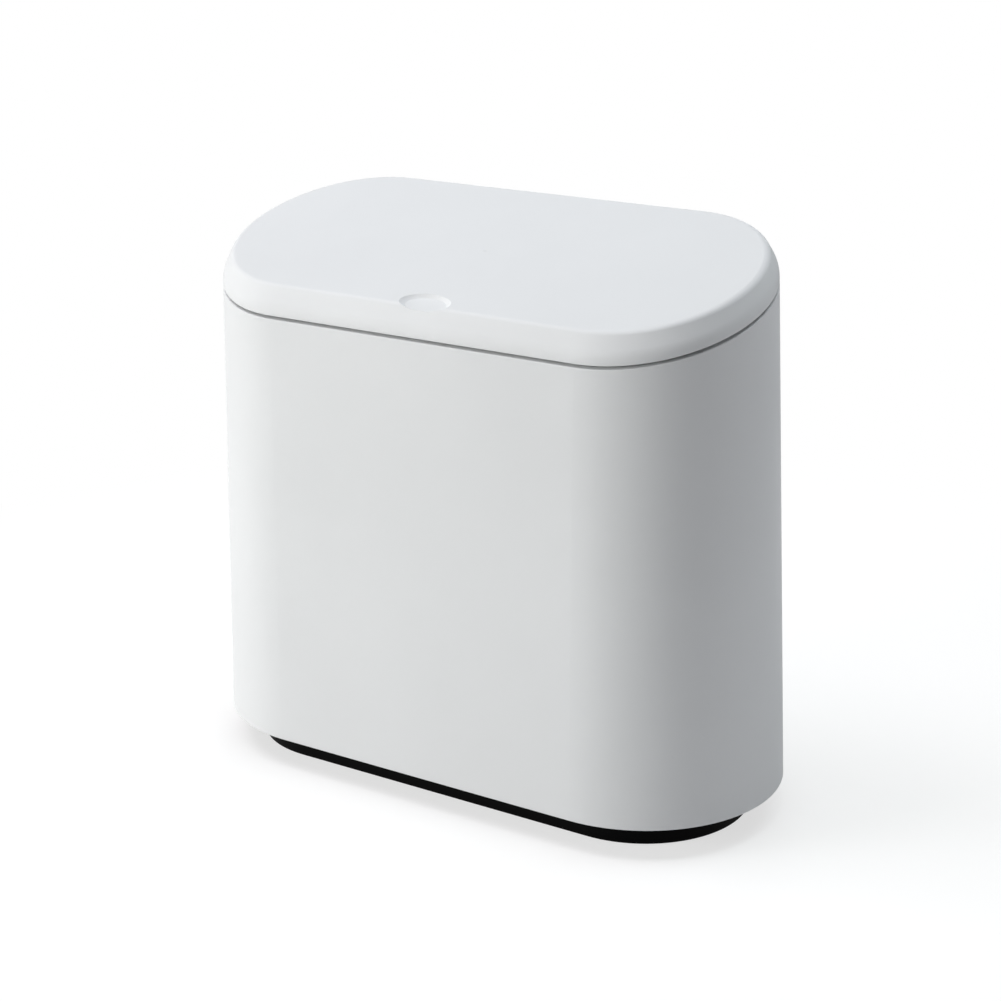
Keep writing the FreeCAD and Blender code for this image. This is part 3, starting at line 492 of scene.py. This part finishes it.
# Screws, in millimetres: the head's outline as radius and height from its top to its seat, then the rest
SCREW_HEAD = ((0.0, -1.6), (1.3, -1.6), (2.05, -1.46), (2.55, -1.12), (2.8, -0.6), (2.8, 0.0))
SCREW_TOP = SCREW_HEAD[0][1]
SCREW_SIDES = 36
SCREW_CORE = 1.12
SCREW_POINT = 1.5
SCREW_TIP_RADIUS = 0.25
SCREW_TIP = 0.1
THREAD_CREST = 1.48
THREAD_PITCH = 1.06
THREAD_STEPS = 16
THREAD_HALF_SHARE = 0.36
THREAD_ROOT_SHARE = 0.9
THREAD_START_SHARE = 0.5
RECESS_ARM = 0.52
RECESS_REACH = 0.95
RECESS_DEPTH = 1.05
RECESS_TAPER_SHARE = 0.6


def drawn(name, points):
    """A line through points, drawn by extruding one vertex, and left open for editing."""
    piece = begin(name, bpy.ops.mesh.primitive_plane_add, size=MM)
    edit(piece)
    bpy.ops.mesh.select_all(action="SELECT")
    bpy.ops.mesh.merge(type="CENTER")
    bpy.ops.transform.translate(value=points[0])
    for before, after in zip(points, points[1:]):
        push(after - before)
    return piece


def screw_thread(turns, low):
    """A sharp ridge that winds up a screw's core."""
    half = THREAD_PITCH * THREAD_HALF_SHARE
    inside = SCREW_CORE * THREAD_ROOT_SHARE
    corners = ((inside, -half), (THREAD_CREST, 0.0), (inside, half))
    ridge = drawn("screw_ridge", [Vector((r, 0.0, z + low)) * MM for r, z in corners])
    bpy.ops.mesh.select_all(action="SELECT")
    bpy.ops.mesh.edge_face_add()
    bpy.ops.mesh.delete(type="ONLY_FACE")
    bpy.ops.object.mode_set(mode="OBJECT")
    winding = ridge.modifiers.new("winding", "SCREW")
    winding.axis = "Z"
    winding.angle = math.tau * turns
    winding.screw_offset = THREAD_PITCH * turns * MM
    winding.steps = round(THREAD_STEPS * turns)
    winding.render_steps = winding.steps
    bpy.ops.object.modifier_apply(modifier="winding")
    edit(ridge)
    bpy.ops.mesh.select_non_manifold(extend=False)
    bpy.ops.mesh.fill_holes(sides=4)
    return close(ridge)


def recess_cutter():
    """A tapered cross that cuts the driver's recess into a screw's head."""
    cross = begin("recess_cutter", bpy.ops.mesh.primitive_cube_add, size=RECESS_ARM * MM)
    edit(cross, "FACE")
    choose(cross, "polygons", lambda face: abs(face.normal.z) < FACING)
    bpy.ops.mesh.extrude_faces_move(TRANSFORM_OT_shrink_fatten={"value": RECESS_REACH * MM})
    close(cross)
    top = SCREW_TOP * MM
    height = 2 * RECESS_DEPTH / RECESS_ARM
    settle(cross, Matrix.Translation((0.0, 0.0, top)) @ Matrix.Diagonal((1.0, 1.0, height, 1.0)))
    edit(cross)
    choose(cross, "vertices", lambda vertex: vertex.co.z > top)
    bpy.ops.transform.resize(value=(RECESS_TAPER_SHARE, RECESS_TAPER_SHARE, 1.0))
    return close(cross)


def pan_screw(name, length):
    """A cross-recess pan head screw, standing on its head with its seat at zero."""
    neck = length - SCREW_POINT
    shank = ((SCREW_CORE, 0.0), (SCREW_CORE, neck), (SCREW_TIP_RADIUS, length - SCREW_TIP), (0.0, length))
    screw = drawn(name, [Vector((r, 0.0, z)) * MM for r, z in SCREW_HEAD + shank])
    bpy.ops.mesh.select_all(action="SELECT")
    bpy.ops.mesh.spin(steps=SCREW_SIDES, angle=math.tau, center=(0.0, 0.0, 0.0), axis=(0.0, 0.0, 1.0))
    close(screw)
    cutter = recess_cutter()
    pick_alone(screw)
    recess = screw.modifiers.new("recess", "BOOLEAN")
    recess.operation = "DIFFERENCE"
    recess.object = cutter
    bpy.ops.object.modifier_apply(modifier="recess")
    bpy.data.objects.remove(cutter)
    ridge = screw_thread(neck / THREAD_PITCH - THREAD_START_SHARE, THREAD_START_SHARE * THREAD_PITCH)
    pick_alone(screw)
    ridge.select_set(True)
    bpy.ops.object.join()
    return screw


def screw_set(name, length, places, body, node):
    """One screw modelled, copied to several places and joined into a piece that stands for a node."""
    model = pan_screw("screw_model", length)
    copies = []
    for place in places:
        pick_alone(model)
        bpy.ops.object.duplicate()
        copies.append(bpy.context.object)
        settle(copies[-1], place)
    bpy.data.objects.remove(model)
    pick_alone(copies[0])
    for copy in copies:
        copy.select_set(True)
    bpy.ops.object.join()
    piece = bpy.context.object
    piece.name = name
    bpy.ops.object.shade_smooth_by_angle(angle=math.radians(SMOOTH_ANGLE))
    finish_piece(piece, "steel")
    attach(piece, body)
    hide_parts(node)


def upright_screws(across, along, seat):
    """Places of screws that stand upright, from their distances in millimetres."""
    return [Matrix.Translation((x * MM, y * MM, seat * MM)) for x in across for y in along]


def sloping_screws(across, along, seat):
    """Places of screws that stand square to the rim plane, from their distances in millimetres."""
    return [in_rim_plane(x * MM, y * MM, seat * MM) for x in across for y in along]


# Places of the screws, in millimetres: across, along and at the seat, with their lengths
BASE_SCREW_LENGTH = 12.0
BASE_SCREWS_ACROSS = (-55.0, 55.0)
BASE_SCREWS_ALONG = (-51.6, 51.6)
BASE_SCREW_SEAT = 14.3
LINER_SCREW_LENGTH = 6.0
LINER_SCREWS_ACROSS = (-78.0, 78.0)
LINER_SCREWS_ALONG = (-26.0, 26.0)
LINER_SCREW_SEAT = 3.0
STRIKER_SCREW_LENGTH = 5.0
STRIKER_SCREWS_ACROSS = (-6.0, 6.0)
STRIKER_SCREWS_ALONG = (-44.276,)
STRIKER_SCREW_SEAT = 1.4
LATCH_SCREW_LENGTH = 5.0
LATCH_SCREWS_ACROSS = (-13.5, 13.5)
LATCH_SCREWS_ALONG = (-43.305,)
LATCH_SCREW_SEAT = 189.015

screw_set("base_screw_set", BASE_SCREW_LENGTH,
          upright_screws(BASE_SCREWS_ACROSS, BASE_SCREWS_ALONG, BASE_SCREW_SEAT),
          "bin", "base_screws")
screw_set("liner_screw_set", LINER_SCREW_LENGTH,
          sloping_screws(LINER_SCREWS_ACROSS, LINER_SCREWS_ALONG, LINER_SCREW_SEAT),
          "lid", "liner_screws")
screw_set("striker_screw_set", STRIKER_SCREW_LENGTH,
          sloping_screws(STRIKER_SCREWS_ACROSS, STRIKER_SCREWS_ALONG, STRIKER_SCREW_SEAT),
          "lid", "striker_screws")
screw_set("latch_screw_set", LATCH_SCREW_LENGTH,
          upright_screws(LATCH_SCREWS_ACROSS, LATCH_SCREWS_ALONG, LATCH_SCREW_SEAT),
          "bin", "latch_screws")

# Gate mark on the lid
GATE_SIDES = 32
GATE_RADIUS = 0.95 * MM
GATE_HEIGHT = 0.5 * MM
GATE_SINK = 0.15 * MM
GATE_RING = 0.28 * MM
GATE_DISH = 0.2 * MM
GATE_TROUGH = 0.3 * MM
GATE_PIP = 0.12 * MM
GATE_ROUND = 0.05 * MM


def gate_mark():
    """The small witness ring that the mould's gate left in the middle of the lid."""
    mark = begin("lid_gate_mark", bpy.ops.mesh.primitive_cylinder_add, vertices=GATE_SIDES,
                 radius=GATE_RADIUS, depth=GATE_HEIGHT)
    edit(mark, "FACE")
    choose(mark, "polygons", lambda face: face.normal.z > FACING)
    bpy.ops.mesh.inset(thickness=GATE_RING)
    push(Vector((0.0, 0.0, -GATE_DISH)))
    bpy.ops.mesh.inset(thickness=GATE_TROUGH)
    push(Vector((0.0, 0.0, GATE_PIP)))
    close(mark)
    rounding = mark.modifiers.new("rounding", "BEVEL")
    rounding.width = GATE_ROUND
    rounding.segments = 2
    bpy.ops.object.modifier_apply(modifier="rounding")
    settle(mark, in_rim_plane(0.0, 0.0, LID_TOP - GATE_SINK))
    finish_piece(mark, "white_plastic")
    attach(mark, "lid")


gate_mark()

# Camera, at the photograph's viewing angle
AIM_HEIGHT = 105.8 * MM
CAMERA_DISTANCE = 967.8 * MM
CAMERA_AZIMUTH = 34.3752
CAMERA_ELEVATION = 19.3924
CAMERA_PAN = -0.1796
CAMERA_TILT = -0.6618
CAMERA_ROLL = -0.9684
FOCAL_SHARE = 2.2987
SENSOR = 36.0


def direction(azimuth, elevation):
    """Unit vector from the object towards a viewer, azimuth 0 being straight in front."""
    a, e = math.radians(azimuth), math.radians(elevation)
    return Vector((math.sin(a) * math.cos(e), -math.cos(a) * math.cos(e), math.sin(e)))


def photo_camera():
    """The camera, turned by its small pan, tilt and roll away from the aim point."""
    data = bpy.data.cameras.new("photo_camera")
    data.sensor_width = SENSOR
    data.lens = FOCAL_SHARE * SENSOR
    camera = bpy.data.objects.new("photo_camera", data)
    scene.collection.objects.link(camera)
    back = direction(CAMERA_AZIMUTH + CAMERA_PAN, CAMERA_ELEVATION + CAMERA_TILT)
    right = Vector((0.0, 0.0, 1.0)).cross(back).normalized()
    up = back.cross(right)
    turn = Matrix((right, up, back)).transposed() @ Matrix.Rotation(math.radians(CAMERA_ROLL), 3, "Z")
    place = direction(CAMERA_AZIMUTH, CAMERA_ELEVATION) * CAMERA_DISTANCE
    camera.matrix_world = Matrix.Translation(place + Vector((0.0, 0.0, AIM_HEIGHT))) @ turn.to_4x4()
    scene.camera = camera


photo_camera()

# Paper floor: its size, how far its shadow shows, its grey and glow near the object, and its grey to light
FLOOR_SIZE = 8.0
SHADOW_REACH = (0.18, 0.45)
NEAR_GREY = 0.42
NEAR_GLOW = 0.66
PAPER_GREY = 0.8


def seen_directly(tree):
    """1 for what the camera sees straight, in a mirror or through glass, and 0 for light."""
    path = tree.nodes.new("ShaderNodeLightPath")
    bright = math_node(tree, "MAXIMUM", path.outputs["Is Camera Ray"], path.outputs["Is Glossy Ray"])
    return math_node(tree, "MAXIMUM", bright, path.outputs["Is Transmission Ray"])


def mixed_shaders(tree, share, first, second):
    """Two shaders mixed by a share."""
    node = tree.nodes.new("ShaderNodeMixShader")
    for socket, value in zip(node.inputs, (share, first.outputs[0], second.outputs[0])):
        tree.links.new(value, socket)
    return node


def diffuse(tree, grey):
    """A plain matt shader of one grey."""
    node = tree.nodes.new("ShaderNodeBsdfDiffuse")
    node.inputs["Color"].default_value = (grey, grey, grey, 1.0)
    return node


def glow(tree, strength):
    """A plain white glow."""
    node = tree.nodes.new("ShaderNodeEmission")
    node.inputs["Strength"].default_value = strength
    return node


def surface(tree, principled, shader):
    """Puts a shader on a new material in place of its Principled one."""
    tree.nodes.remove(principled)
    tree.links.new(shader.outputs[0], tree.nodes["Material Output"].inputs["Surface"])


def white_paper():
    """White paper: white to the camera but for a soft shadow by the object, and pale to the light."""
    material, tree, principled = new_material("white_paper")
    near = tree.nodes.new("ShaderNodeAddShader")
    tree.links.new(diffuse(tree, NEAR_GREY).outputs[0], near.inputs[0])
    tree.links.new(glow(tree, NEAR_GLOW).outputs[0], near.inputs[1])
    place = tree.nodes.new("ShaderNodeTexCoord").outputs["Object"]
    length = tree.nodes.new("ShaderNodeVectorMath")
    length.operation = "LENGTH"
    tree.links.new(place, length.inputs[0])
    far = remap(tree, length.outputs["Value"], *SHADOW_REACH, 0.0, 1.0)
    shown = mixed_shaders(tree, far, near, glow(tree, 1.0))
    surface(tree, principled, mixed_shaders(tree, seen_directly(tree), diffuse(tree, PAPER_GREY), shown))
    return material


def paper_floor():
    """The floor under the object."""
    floor = begin("paper_floor", bpy.ops.mesh.primitive_plane_add, size=FLOOR_SIZE)
    floor.data.materials.append(white_paper())


paper_floor()

# Light from all round, where what the camera sees has strength 1
ROOM_LIGHT = 0.08


def studio_world():
    """White behind the object, and a dim even light from all round."""
    world = bpy.data.worlds.new("studio")
    scene.world = world
    world.use_nodes = True
    tree = world.node_tree
    background = tree.nodes["Background"]
    background.inputs["Color"].default_value = (1, 1, 1, 1)
    strength = remap(tree, seen_directly(tree), 0.0, 1.0, ROOM_LIGHT, 1.0)
    tree.links.new(strength, background.inputs["Strength"])


studio_world()

# Dark card behind the object: its direction, distance, width and height, and grey
FLAG_AZIMUTH = 215.0
FLAG_DISTANCE = 0.75
FLAG_SIZE = (1.7, 1.1)
FLAG_GREY = 0.03


def square_to(towards):
    """The turn of a card or lamp that stands in a direction and faces the object."""
    return towards.to_track_quat("Z", "Y").to_euler()


def dark_cloth():
    """Matt cloth, nearly black."""
    material, tree, principled = new_material("dark_cloth")
    surface(tree, principled, diffuse(tree, FLAG_GREY))
    return material


def dark_flag():
    """A dark card met only by reflections and the room light, so that pale edges stand out."""
    flag = begin("dark_flag", bpy.ops.mesh.primitive_plane_add, size=1.0)
    towards = direction(FLAG_AZIMUTH, 0.0)
    flag.scale = (*FLAG_SIZE, 1.0)
    flag.rotation_euler = square_to(towards)
    flag.location = towards * FLAG_DISTANCE + Vector((0.0, 0.0, FLAG_SIZE[1] / 2))
    flag.data.materials.append(dark_cloth())
    flag.visible_camera = False
    flag.visible_shadow = False


dark_flag()

# Lamps: name, azimuth, elevation, power in watts, colour
LAMP_DISTANCE = 1.6
LAMP_SIZE = 0.7
LAMPS = (
    ("key_low_left", -40.0, 8.0, 14.6, (0.985, 1.0, 0.955)),
    ("high_left", -60.0, 62.0, 9.2, (0.99, 0.95, 1.0)),
    ("overhead", 0.0, 89.0, 6.8, (0.93, 1.0, 0.99)),
    ("right_fill", 95.0, 8.0, 2.2, (0.97, 0.97, 1.0)),
    ("rear_high", 145.0, 60.0, 5.0, (0.87, 0.96, 1.0)),
    ("rear_fill", 204.0, 12.0, 6.5, (1.0, 1.0, 1.0)),
)


def softbox(name, azimuth, elevation, power, colour):
    """A square soft lamp that faces the middle of the object."""
    data = bpy.data.lights.new(name, "AREA")
    data.shape = "SQUARE"
    data.size = LAMP_SIZE
    data.energy = power
    data.color = colour
    lamp = bpy.data.objects.new(name, data)
    lamp.visible_camera = False
    scene.collection.objects.link(lamp)
    towards = direction(azimuth, elevation)
    lamp.location = Vector((0.0, 0.0, AIM_HEIGHT)) + towards * LAMP_DISTANCE
    lamp.rotation_euler = square_to(towards)


for lamp in LAMPS:
    softbox(*lamp)

scene.view_settings.view_transform = "Standard"
